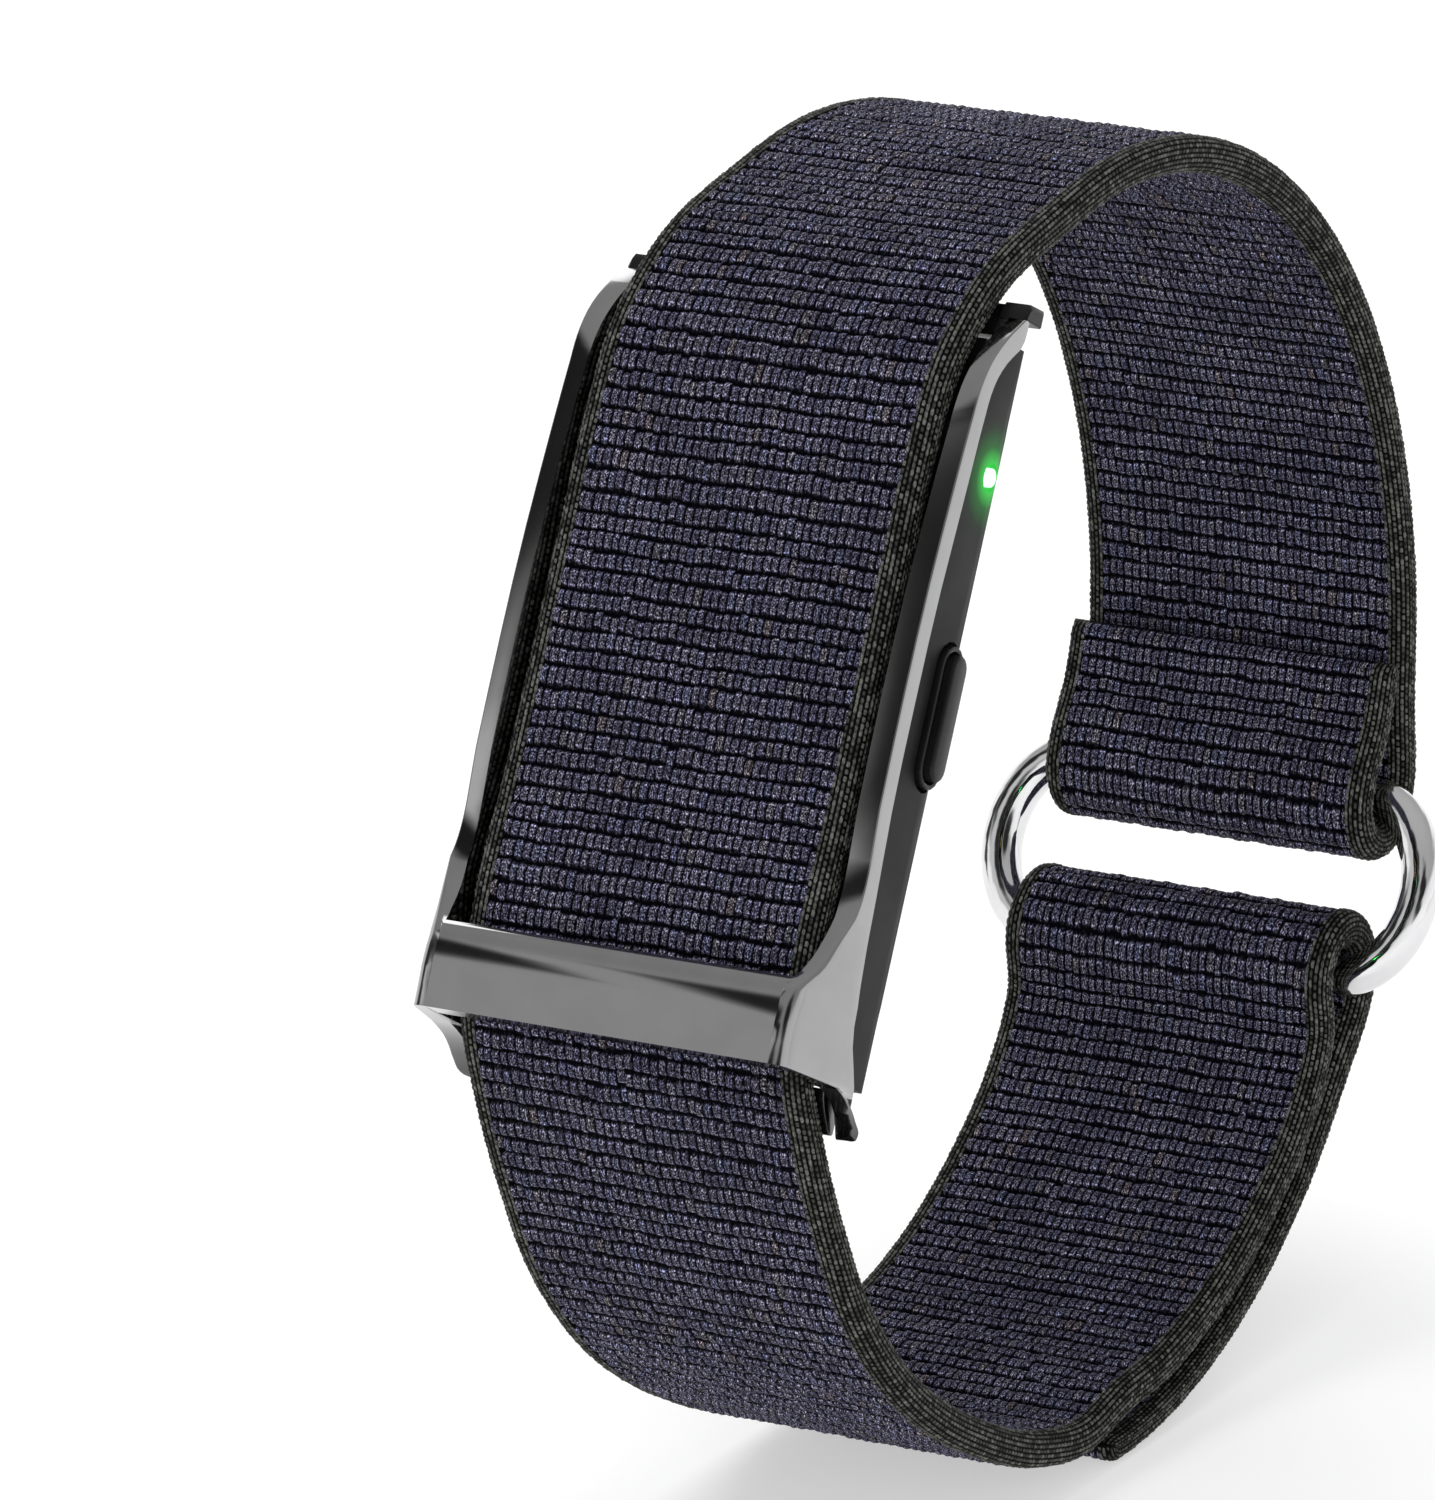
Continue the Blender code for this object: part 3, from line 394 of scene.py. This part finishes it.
class Wiring:
    """Short ways to add and link shader nodes."""

    def __init__(self, tree):
        self.tree = tree

    def add(self, kind, inputs=None, **settings):
        node = self.tree.nodes.new("ShaderNode" + kind)
        for key, value in settings.items():
            setattr(node, key, value)
        for key, value in (inputs or {}).items():
            self.feed(node.inputs[key], value)
        return node

    def feed(self, socket, value):
        if isinstance(value, bpy.types.NodeSocket):
            self.tree.links.new(value, socket)
        else:
            socket.default_value = value

    def attribute(self, name, output="Fac"):
        return self.add("Attribute", attribute_name=name).outputs[output]

    def ramp(self, value, stops):
        node = self.add("ValToRGB", {"Fac": value})
        ramp = node.color_ramp
        while len(ramp.elements) < len(stops):
            ramp.elements.new(0.5)
        for element, (place_at, colour) in zip(ramp.elements, stops):
            element.position = place_at
            element.color = (*colour, 1.0) if hasattr(colour, "__len__") else (colour,) * 3 + (1.0,)
        return node.outputs["Color"]

    def mix(self, factor, a, b, blend="MIX"):
        node = self.add("Mix", data_type="RGBA", blend_type=blend)
        self.feed(node.inputs[0], factor)
        self.feed(node.inputs[6], a)
        self.feed(node.inputs[7], b)
        return node.outputs[2]

    def maths(self, operation, a, b=0.0):
        node = self.add("Math", operation=operation)
        self.feed(node.inputs[0], a)
        self.feed(node.inputs[1], b)
        return node.outputs[0]

    def noise(self, scale, detail=3.0, vector=None, roughness=0.5, output="Fac"):
        if vector is None:
            vector = self.add("TexCoord").outputs["Object"]
        node = self.add("TexNoise", {"Vector": vector, "Scale": scale, "Detail": detail,
                                     "Roughness": roughness})
        return node.outputs[output]

    def bump(self, height, strength, distance):
        return self.add("Bump", {"Height": height, "Strength": strength,
                                 "Distance": distance}).outputs["Normal"]


def weave_material():
    """Ribbed cloth: glossy filament loops; bright flecks, partly light fibres and partly painted sheen;
    painted highlights near each rib's edges; painted shade in black between the loops and between the
    ribs.
    """
    material, principled, wire = shader("ribbed_weave", roughness=0.55)
    cloth = wire.attribute("cloth", "Vector")
    loop = wire.add("SeparateXYZ", {"Vector": wire.attribute("loop", "Vector")}).outputs
    fibres = wire.add("Mapping", {"Vector": cloth, "Scale": (1.0, 1.5, 1.0)}).outputs["Vector"]
    fine = wire.noise(8500.0, 3.0, fibres, 0.65)
    ragged = wire.maths("MULTIPLY", wire.maths("SUBTRACT", wire.noise(6000.0, 2.0, cloth), 0.5), 0.5)
    off_rib = wire.ramp(wire.maths("ADD", loop[0], ragged), [(0.10, 0.0), (0.34, 1.0)])
    off_gap = wire.ramp(wire.maths("ADD", loop[1], ragged), [(0.12, 0.0), (0.42, 1.0)])
    yarn = wire.ramp(loop[2], [
        (0.0, (0.020, 0.019, 0.031)), (0.40, (0.026, 0.024, 0.036)), (0.70, (0.032, 0.030, 0.042)),
        (0.88, (0.024, 0.025, 0.042)), (0.96, (0.030, 0.029, 0.036)), (1.0, (0.032, 0.027, 0.031))])
    # Painted sheen: the bright flecks are partly the yarn's own light fibres and partly painted
    # highlight, many times brighter than the yarn.
    flecks_and_painted_sheen = wire.ramp(fine, [(0.36, 0.05), (0.45, 0.40), (0.52, 1.6), (0.58, 6.5), (0.64, 17.0)])
    # Painted highlight and shade across each rib: darker next to the groove, brightest a little way in,
    # dimmer in the middle.
    ends = wire.ramp(loop[0], [(0.22, 0.5), (0.42, 1.7), (0.62, 1.0), (1.0, 0.7)])
    lit = wire.mix(1.0, wire.mix(1.0, yarn, flecks_and_painted_sheen, "MULTIPLY"), ends, "MULTIPLY")
    patches = wire.ramp(wire.noise(190.0, 2.0, cloth), [(0.35, 0.85), (0.65, 1.15)])
    lit = wire.mix(1.0, lit, patches, "MULTIPLY")
    # Painted shade: the grooves between ribs and the gaps between loops are coloured near black.
    depth = wire.maths("MULTIPLY", off_rib, off_gap)
    colour = wire.mix(depth, (0.0006, 0.0006, 0.0022, 1.0), lit)
    wire.feed(principled.inputs["Base Color"], colour)
    wire.feed(principled.inputs["Roughness"], wire.ramp(fine, [(0.3, 0.68), (0.7, 0.42)]))
    principled.inputs["Specular IOR Level"].default_value = 0.04
    wire.feed(principled.inputs["Normal"], wire.bump(fine, 0.6, 0.00004))
    return material


def binding_material():
    """Grey-green threads of the edge binding, black between them."""
    material, principled, wire = shader("edge_binding", roughness=0.6)
    cloth = wire.attribute("cloth", "Vector")
    fine = wire.noise(7000.0, 2.0, cloth)
    thread = wire.ramp(wire.attribute("tint"), [
        (0.0, (0.036, 0.037, 0.033)), (0.5, (0.062, 0.063, 0.057)), (1.0, (0.115, 0.116, 0.106))])
    thread = wire.mix(1.0, thread, wire.ramp(fine, [(0.38, 0.5), (0.62, 1.7)]), "MULTIPLY")
    depth = wire.ramp(wire.attribute("relief"), [(0.35, 0.0), (0.80, 1.0)])
    wire.feed(principled.inputs["Base Color"],
              wire.mix(depth, (0.0016, 0.0016, 0.0016, 1.0), thread))
    principled.inputs["Specular IOR Level"].default_value = 0.04
    wire.feed(principled.inputs["Normal"], wire.bump(fine, 0.4, 0.00003))
    return material


def metal(name, colour, low, high, scratches=0.015, painted_shade_from=None):
    """Plated metal: fine brushing and a slow change of polish over it.  The last argument is how far
    down the tracker, in mm, painted shade starts to darken the plating colour."""
    material, principled, wire = shader(name, 1.0, low)
    place_at = wire.add("TexCoord").outputs["Object"]
    brushed = wire.add("Mapping", {"Vector": place_at, "Scale": (1.0, 0.12, 1.0)}).outputs["Vector"]
    grain = wire.noise(5000.0, 2.0, brushed)
    slow = wire.noise(160.0, 2.0)
    wire.feed(principled.inputs["Roughness"], wire.ramp(slow, [(0.3, low), (0.7, high)]))
    tone = wire.ramp(wire.noise(420.0, 4.0), [(0.3, 0.95), (0.7, 1.03)])
    plated = wire.mix(1.0, (*colour, 1.0), tone, "MULTIPLY")
    # Painted shade: from there on down, the plating colour is darkened, standing in for the shaded floor
    # that the lower lugs mirror.
    if painted_shade_from:
        down = wire.add("VectorMath", {0: place_at, 1: -UP}, operation="DOT_PRODUCT").outputs["Value"]
        past = wire.maths("SUBTRACT", down, -UP.dot(ORIGIN) + painted_shade_from * MM)
        shade = wire.ramp(wire.maths("MULTIPLY", past, 1 / (2.0 * MM)),
                          [(0.0, 1.0), (0.25, 0.7), (0.6, 0.42), (1.0, 0.3)])
        plated = wire.mix(1.0, plated, shade, "MULTIPLY")
    wire.feed(principled.inputs["Base Color"], plated)
    wire.feed(principled.inputs["Normal"], wire.bump(grain, scratches, 0.00001))
    return material


def plastic(name, colour, low, high, grain=14000.0, strength=0.25, specular=0.5):
    """Moulded plastic or rubber: spark-eroded grain, slightly uneven gloss."""
    material, principled, wire = shader(name, 0.0, low)
    fine = wire.noise(grain, 2.0)
    slow = wire.noise(300.0, 3.0)
    wire.feed(principled.inputs["Roughness"], wire.ramp(slow, [(0.3, low), (0.7, high)]))
    tone = wire.ramp(wire.noise(900.0, 4.0), [(0.3, 0.8), (0.7, 1.2)])
    wire.feed(principled.inputs["Base Color"], wire.mix(1.0, (*colour, 1.0), tone, "MULTIPLY"))
    principled.inputs["Specular IOR Level"].default_value = specular
    wire.feed(principled.inputs["Normal"], wire.bump(fine, strength, 0.00002))
    return material


def case_material(glow_at):
    """Satin black moulding, with the status light's green shining through round it."""
    material = plastic("satin_case", (0.007, 0.007, 0.0075), 0.30, 0.40, strength=0.1, specular=0.08)
    wire = Wiring(material.node_tree)
    principled = material.node_tree.nodes["Principled BSDF"]
    place_at = wire.add("TexCoord").outputs["Object"]
    away = wire.add("VectorMath", {0: place_at, 1: tuple(glow_at)}, operation="DISTANCE")
    near = wire.ramp(wire.maths("MULTIPLY", away.outputs["Value"], 1 / (3.4 * MM)),
                     [(0.0, (0.16, 1.0, 0.20)), (0.24, (0.04, 0.60, 0.07)),
                      (0.50, (0.004, 0.11, 0.012)), (0.80, (0.0, 0.012, 0.001)), (1.0, (0.0, 0.0, 0.0))])
    wire.feed(principled.inputs["Emission Color"], near)
    principled.inputs["Emission Strength"].default_value = 1.0
    return material


def glowing(name, colour, strength):
    """Lit resin, slightly cloudy."""
    material, principled, wire = shader(name, 0.0, 0.25)
    tone = wire.ramp(wire.noise(3000.0, 2.0), [(0.3, 0.75), (0.7, 1.1)])
    wire.feed(principled.inputs["Base Color"], wire.mix(1.0, (*colour, 1.0), tone, "MULTIPLY"))
    principled.inputs["Emission Color"].default_value = (*colour, 1.0)
    principled.inputs["Emission Strength"].default_value = strength
    return material


def window_material():
    """Tinted clear window over the sensors, with faint wipe marks."""
    material, principled, wire = shader("tinted_window", 0.0, 0.04)
    tone = wire.ramp(wire.noise(500.0, 4.0), [(0.35, (0.30, 0.33, 0.31)), (0.7, (0.36, 0.40, 0.37))])
    wire.feed(principled.inputs["Base Color"], tone)
    wire.feed(principled.inputs["Roughness"], wire.ramp(wire.noise(220.0, 5.0),
                                                        [(0.4, 0.03), (0.75, 0.09)]))
    principled.inputs["Transmission Weight"].default_value = 1.0
    principled.inputs["IOR"].default_value = 1.46
    return material


def board_material(name, glow=0.0):
    """Solder-masked circuit board with copper tracks under the mask; with `glow` the board gives off a
    faint painted green glow, standing in for the LEDs' light falling on it.
    """
    material, principled, wire = shader(name, 0.0, 0.35)
    cells = wire.add("TexVoronoi", {"Vector": wire.add("TexCoord").outputs["Object"],
                                    "Scale": 1300.0}, feature="DISTANCE_TO_EDGE",
                     distance="EUCLIDEAN").outputs["Distance"]
    colour = wire.ramp(cells, [(0.0, (0.035, 0.16, 0.07)), (0.10, (0.028, 0.12, 0.05)),
                               (0.16, (0.006, 0.045, 0.018))])
    wire.feed(principled.inputs["Base Color"], colour)
    wire.feed(principled.inputs["Normal"], wire.bump(cells, 0.2, 0.00003))
    if glow:
        principled.inputs["Emission Color"].default_value = (0.01, 0.4, 0.03, 1.0)
        principled.inputs["Emission Strength"].default_value = glow
    return material


def dress(obj, material, *modifiers):
    """Give a piece one material, and modifiers as (kind, settings) pairs."""
    obj.data.materials.clear()
    obj.data.materials.append(material)
    for kind, settings in modifiers:
        modifier = obj.modifiers.new(kind.lower(), kind)
        for key, value in settings.items():
            setattr(modifier, key, value)
    return obj


# ---------------------------------------------------------------- the strap and its tail
def build_strap():
    """Cloth and edge bindings, in one piece each up to SPLIT and another from there on."""
    weave, binding = weave_material(), binding_material()
    at, points, values = weave_grid()
    cut = int(np.argmin(abs(at - SPLIT)))
    spans = {"strap_weave": slice(0, cut + 1), "tail_weave": slice(cut, None)}
    made = {}
    for name, span in spans.items():
        own = {label: value[span] for label, value in values.items()}
        made[name] = dress(tube(name, points[span], own), weave)
    for name, (start, end) in {"strap_binding": (0.0, SPLIT),
                               "tail_binding": (SPLIT, ROUTE_LENGTH)}.items():
        rings, own = binding_grid(start, end)
        made[name] = dress(tube(name, rings, own, parts=2), binding)
    for name in ("strap_weave", "strap_binding"):
        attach(made[name], "band")
    ends, _ = smooth(ROUTE, [HINGE_AT, HINGE_AT + BEND_LENGTH])
    start, end = ((x * MM, 0.0, z * MM) for x, z in ends)
    for name in ("tail_weave", "tail_binding"):
        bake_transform(made[name])
    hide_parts("strap")
    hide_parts("strap_tail")


build_strap()

# ---------------------------------------------------------------- the other pieces' materials
low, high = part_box("status_light")
light_middle = (low + high) / 2
# The frame's plating gets painted shade from 20.35 mm down the tracker.
gunmetal = metal("gunmetal_plating", (0.36, 0.36, 0.365), 0.10, 0.14, painted_shade_from=20.35)
dark_metal = metal("dark_plating", (0.12, 0.12, 0.122), 0.2, 0.28)
chrome = metal("polished_ring", (0.78, 0.78, 0.79), 0.05, 0.09, 0.01)
gold = metal("gold_plating", (0.85, 0.62, 0.14), 0.16, 0.28, 0.2)
steel = metal("nickel", (0.56, 0.56, 0.57), 0.2, 0.32)
black = plastic("black_parts", (0.006, 0.006, 0.0065), 0.24, 0.32, strength=0.08, specular=0.2)
rubber = plastic("rubber", (0.02, 0.02, 0.02), 0.75, 0.9, 6000.0, 0.4)
chip = plastic("chip_package", (0.015, 0.015, 0.017), 0.38, 0.5, 9000.0)
ceramic = plastic("led_ceramic", (0.72, 0.66, 0.36), 0.3, 0.5, 5000.0)
flex = plastic("polyimide", (0.36, 0.16, 0.03), 0.3, 0.42, 4000.0, 0.2)
foil = metal("battery_foil", (0.6, 0.6, 0.62), 0.3, 0.42, 0.5)
hooks = plastic("hook_tape", (0.03, 0.03, 0.033), 0.5, 0.7, 2600.0, 1.0)
case = case_material(light_middle)
WELD = ("WELD", {"merge_threshold": 0.001 * MM})
SPLIT_SHARP = ("EDGE_SPLIT", {"split_angle": math.radians(30)})
SOFT = (WELD, SPLIT_SHARP)


def forget_normals(mesh):
    """Drop the imported shading, so that the modifiers can smooth the mesh by angle."""
    for name in ("custom_normal", "sharp_edge", "sharp_face"):
        if name in mesh.attributes:
            mesh.attributes.remove(mesh.attributes[name])
    mesh.shade_smooth()


for names, material, modifiers in (
        (("metal_frame",), gunmetal, SOFT),
        (("bottom_end_bar",), dark_metal, SOFT),
        (("rear_case",), case, SOFT),
        (("top_cover", "side_button", "button_bezel", "window_bezel", "top_end_bar"), black, SOFT),
        (("case_gasket", "light_barrier"), rubber, SOFT),
        (("sensor_window",), window_material(), SOFT),
        (("sensor_board",), board_material("sensor_board_mask", 0.05), SOFT),
        (("main_board",), board_material("main_board_mask"), SOFT),
        (("led_package",), ceramic, SOFT),
        (("photodiode", "processor_chip", "motion_sensor"), chip, SOFT),
        (("green_led",), glowing("led_light", (0.03, 1.0, 0.10), 26.0), SOFT),
        (("status_light",), glowing("status_light_glow", (0.30, 1.0, 0.36), 3.5), SOFT),
        (("battery",), foil, SOFT),
        (("vibration_motor", "charge_magnet_1", "charge_magnet_2", "button_switch"), steel, SOFT),
        (("antenna", "charge_contact_1", "charge_contact_2"), gold, SOFT),
        (("sensor_flex",), flex, SOFT),
        (("hook_tab",), hooks, SOFT),
        (("adjust_ring",), chrome, (WELD, ("SUBSURF", {"levels": 2, "render_levels": 2}),))):
    for name in names:
        forget_normals(nodes[name].data)
        dress(nodes[name], material, *modifiers)

# ---------------------------------------------------------------- floor, light and camera
floor_z = cad_size[0][2]
mesh = bpy.data.meshes.new("floor")
bm = bmesh.new()
bmesh.ops.create_grid(bm, x_segments=2, y_segments=2, size=6.0)
bm.to_mesh(mesh)
bm.free()
floor = bpy.data.objects.new("floor", mesh)
scene.collection.objects.link(floor)
floor.location.z = floor_z - 0.05 * MM
material, principled, wire = shader("floor", 0.0, 0.9)
principled.inputs["Base Color"].default_value = (0.62, 0.62, 0.62, 1.0)
principled.inputs["Specular IOR Level"].default_value = 0.1
principled.inputs["Emission Color"].default_value = (1.0, 1.0, 1.0, 1.0)
principled.inputs["Emission Strength"].default_value = 0.47
dress(floor, material)


def softbox(name, azimuth, elevation, distance, size, power):
    """Wide lamp aimed at the object; azimuth 0 is on the -Y side, 90 on +X. The metal mirrors the
    studio's cards and walls, not the lamps."""
    a, e = math.radians(azimuth), math.radians(elevation)
    toward = Vector((math.sin(a) * math.cos(e), -math.cos(a) * math.cos(e), math.sin(e)))
    lamp = bpy.data.lights.new(name, "AREA")
    lamp.shape = "RECTANGLE"
    lamp.size, lamp.size_y = size
    lamp.energy = power
    obj = bpy.data.objects.new(name, lamp)
    obj.location = toward * distance
    obj.rotation_mode = "QUATERNION"
    obj.rotation_quaternion = toward.to_track_quat("Z", "Y")
    obj.visible_glossy = False
    scene.collection.objects.link(obj)


softbox("overhead", -150, 74, 1.0, (0.9, 0.9), 5.2)
softbox("front", -55, 18, 1.2, (0.9, 0.6), 5.3)

# The studio round the object: white at the horizon, grey above, with a grey card that the
# crossbar's front mirrors, a white one that its upper edge mirrors, and dark ones for the rails.
GREY_CARD, WHITE_CARD = (-0.725, 0.459, 0.513), (0.75, 0.46, 0.48)
NEAR_BLACK_CARD, FAR_BLACK_CARD = (-0.81, 0.08, 0.58), (-0.34, 0.755, 0.56)
NEAR_CORNER_CARD, FAR_CORNER_CARD = (-0.62, -0.62, 0.48), (-0.15, 0.97, 0.20)
world = bpy.data.worlds.new("studio")
scene.world = world
world.use_nodes = True
wire = Wiring(world.node_tree)
background = world.node_tree.nodes["Background"]
sky = wire.add("TexCoord").outputs["Generated"]


def toward(direction):
    """How far the view into the studio points this way: 1 straight at it."""
    return wire.add("VectorMath", {0: sky, 1: Vector(direction).normalized()},
                    operation="DOT_PRODUCT").outputs["Value"]


studio = wire.ramp(toward((0, 0, 1)), [(0.0, 1.15), (0.28, 1.0), (0.44, 0.40), (1.0, 0.50)])
studio = wire.mix(wire.ramp(toward(GREY_CARD), [(0.95, 0.0), (0.975, 1.0)]), studio,
                  (0.61, 0.61, 0.61, 1.0))
studio = wire.mix(wire.ramp(toward(WHITE_CARD), [(0.95, 0.0), (0.975, 1.0)]), studio,
                  (2.6, 2.6, 2.6, 1.0))
for direction, edge in ((NEAR_BLACK_CARD, 0.95), (FAR_BLACK_CARD, 0.955),
                        (NEAR_CORNER_CARD, 0.955), (FAR_CORNER_CARD, 0.96)):
    card = wire.ramp(toward(direction), [(edge, 1.0), (0.985, 0.06)])
    studio = wire.mix(1.0, studio, card, "MULTIPLY")
wire.feed(background.inputs["Color"], studio)
background.inputs["Strength"].default_value = 1.0

LENS, SENSOR = 271.66, 36.0
camera_data = bpy.data.cameras.new("camera")
camera_data.lens = LENS
camera_data.sensor_width = SENSOR
camera_data.shift_x, camera_data.shift_y = -0.01833, -0.04133
camera_data.clip_start, camera_data.clip_end = 0.01, 20.0
camera = bpy.data.objects.new("camera", camera_data)
scene.collection.objects.link(camera)
azimuth, elevation, distance = math.radians(-61.5), math.radians(16.0), 0.592
back = Vector((math.sin(azimuth) * math.cos(elevation), -math.cos(azimuth) * math.cos(elevation),
               math.sin(elevation)))
camera.location = ORIGIN + back * distance
camera.rotation_mode = "QUATERNION"
camera.rotation_quaternion = back.to_track_quat("Z", "Y")
scene.camera = camera
scene.view_settings.view_transform = "Standard"
